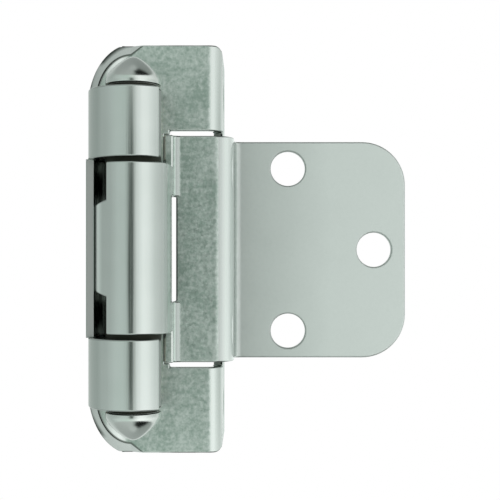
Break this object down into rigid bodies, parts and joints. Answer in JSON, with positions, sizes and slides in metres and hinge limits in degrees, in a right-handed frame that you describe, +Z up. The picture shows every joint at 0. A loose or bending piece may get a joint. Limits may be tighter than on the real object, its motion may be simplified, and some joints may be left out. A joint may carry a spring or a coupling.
{
  "type": "cranked hinge",
  "caption": "Self-closing cranked cabinet hinge for an inset lipped door: a frame leaf that wraps the face frame's edge and a stepped door leaf that swing on one pin.",
  "frame": {"origin": "on the pin's axis, half way along it", "axes": "+Z up along the pin, +X towards the door plate, +Y away from the eye into the cabinet"},
  "size_m": [0.0551, 0.0302, 0.0698],
  "materials": {
    "plated_steel": "bright zinc plate",
    "plated_pin": "turned and zinc plated",
    "nylon": "moulded natural nylon",
    "spring_steel": "oiled spring strip"
  },
  "bodies": {
    "frame_side": {"frame_leaf": "plated_steel", "hinge_pin": "plated_pin", "upper_bearing": "nylon", "lower_bearing": "nylon"},
    "door_side": {"door_leaf": "plated_steel", "closing_spring": "spring_steel"}
  },
  "joints": [
    {"name": "door_swing", "type": "hinge", "parent": "frame_side", "child": "door_side", "pos_m": [0, 0, 0], "axis": [0, 0, -1], "range_deg": [0, 180], "stiffness_Nm_per_rad": 0.002, "springref_deg": -20.05}
  ]
}
